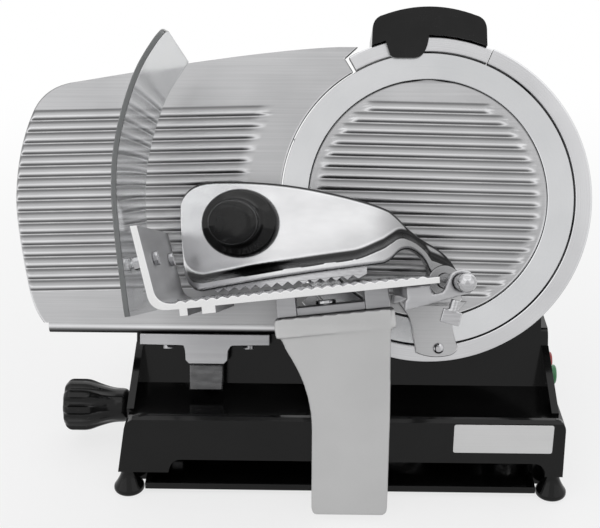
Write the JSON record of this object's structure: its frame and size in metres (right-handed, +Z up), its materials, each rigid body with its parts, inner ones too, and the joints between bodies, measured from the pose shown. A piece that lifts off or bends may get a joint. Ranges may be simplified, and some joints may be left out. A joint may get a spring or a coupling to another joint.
{
  "type": "food slicer",
  "caption": "Gravity-feed food slicer with a tilted round blade, ribbed gauge plate, sliding food carriage with pusher and clear hand shield, sharpener and black cast base.",
  "frame": {"origin": "on the worktop, under the middle of the whole part's footprint at rest", "axes": "+X to the operator's right along the carriage travel, +Y away from the operator, +Z up"},
  "size_m": [0.4954, 0.4044, 0.4036],
  "materials": {
    "black_paint": "gloss",
    "black_plastic": "gloss",
    "cast_aluminium": "satin",
    "polished_aluminium": "polished",
    "blade_steel": "polished",
    "steel": "brushed",
    "bronze": "satin",
    "rubber": "matte",
    "nylon": "matte",
    "clear": "clear",
    "stone": "rough",
    "green": "gloss",
    "red": "gloss"
  },
  "bodies": {
    "base": {"base_housing": "black_paint", "bottom_pan": "black_paint", "foot_front_left": "black_paint", "foot_front_right": "black_paint", "foot_rear_left": "black_paint", "foot_rear_right": "black_paint", "rating_plate": "cast_aluminium", "ring_guard": "polished_aluminium", "spindle_housing": "cast_aluminium", "bearing_front": "steel", "bearing_rear": "steel", "motor": "steel", "drive_belt": "rubber", "rear_cover": "black_paint", "blade_cover": "cast_aluminium", "cover_screw": "steel", "sharpener_post": "steel", "sharpener_base": "polished_aluminium", "gauge_guide": "cast_aluminium", "carriage_rod": "steel", "carriage_rail": "steel", "slice_deflector": "polished_aluminium", "switch_plate": "black_plastic", "cable_inlet": "black_plastic"},
    "blade_unit": {"blade": "blade_steel", "spindle": "steel", "blade_pulley": "cast_aluminium"},
    "motor_rotor": {"motor_pulley": "steel"},
    "gauge": {"gauge_plate": "cast_aluminium", "gauge_bracket": "cast_aluminium", "gauge_slider": "steel", "gauge_rod": "steel", "gauge_follower": "steel"},
    "adjuster": {"scroll_shaft": "steel", "thickness_knob": "black_plastic"},
    "carriage": {"slide_block": "cast_aluminium", "slide_bush": "bronze", "guide_shoe": "nylon", "carriage_arm": "cast_aluminium", "tray_bracket": "cast_aluminium", "bracket_bolt": "steel", "food_tray": "polished_aluminium", "hand_shield": "clear", "shield_screw_1": "steel", "shield_screw_2": "steel", "pusher_rod": "steel", "rod_bracket": "cast_aluminium", "wing_screw": "steel"},
    "pusher_carrier": {"pusher_bush": "bronze"},
    "pusher": {"food_pusher": "polished_aluminium", "grip_plate": "steel", "handle_knob": "black_plastic"},
    "sharpener": {"sharpener_cap": "black_plastic"},
    "sharpening_unit": {"sharpening_stone": "stone", "sharpening_button": "black_plastic"},
    "honing_unit": {"honing_stone": "stone", "honing_button": "black_plastic"},
    "start": {"start_button": "green"},
    "stop": {"stop_button": "red"}
  },
  "joints": [
    {"name": "blade_spin", "type": "hinge", "parent": "base", "child": "blade_unit", "pos_m": [0.10726, 0.03622, 0.2255], "axis": [0, -0.9063, 0.4226], "continuous": true},
    {"name": "motor_spin", "type": "hinge", "parent": "base", "child": "motor_rotor", "pos_m": [0.15226, -0.00604, 0.13487], "axis": [0, -0.9063, 0.4226], "continuous": true},
    {"name": "gauge_slide", "type": "slide", "parent": "base", "child": "gauge", "axis": [0, 0.9063, -0.4226], "range_m": [0, 0.014]},
    {"name": "thickness_turn", "type": "hinge", "parent": "base", "child": "adjuster", "pos_m": [-0.184, 0.00622, 0.035], "axis": [-1, 0, 0], "range_deg": [0, 320]},
    {"name": "carriage_slide", "type": "slide", "parent": "base", "child": "carriage", "axis": [1, 0, 0], "range_m": [-0.115, 0.125]},
    {"name": "pusher_slide", "type": "slide", "parent": "carriage", "child": "pusher_carrier", "axis": [0, -0.9063, 0.4226], "range_m": [0, 0.12]},
    {"name": "pusher_lift", "type": "hinge", "parent": "pusher_carrier", "child": "pusher", "pos_m": [0.11676, 0.00664, 0.16206], "axis": [0, 0.9063, -0.4226], "range_deg": [0, 95]},
    {"name": "sharpener_lift", "type": "slide", "parent": "base", "child": "sharpener", "axis": [0, 0.4226, 0.9063], "range_m": [0, 0.025]},
    {"name": "sharpening_press", "type": "slide", "parent": "sharpener", "child": "sharpening_unit", "axis": [0, -0.9063, 0.4226], "range_m": [0, 0.005], "stiffness_N_per_m": 300},
    {"name": "honing_press", "type": "slide", "parent": "sharpener", "child": "honing_unit", "axis": [0, -0.9063, 0.4226], "range_m": [0, 0.005], "stiffness_N_per_m": 300},
    {"name": "start_press", "type": "slide", "parent": "base", "child": "start", "axis": [-1, 0, 0], "range_m": [0, 0.003], "stiffness_N_per_m": 400},
    {"name": "stop_press", "type": "slide", "parent": "base", "child": "stop", "axis": [-1, 0, 0], "range_m": [0, 0.003], "stiffness_N_per_m": 400}
  ],
  "couplings": [
    {"joint": "motor_spin", "follows": "blade_spin", "ratio": 2.7143},
    {"joint": "thickness_turn", "follows": "gauge_slide", "rad_per_m": 398.9}
  ]
}
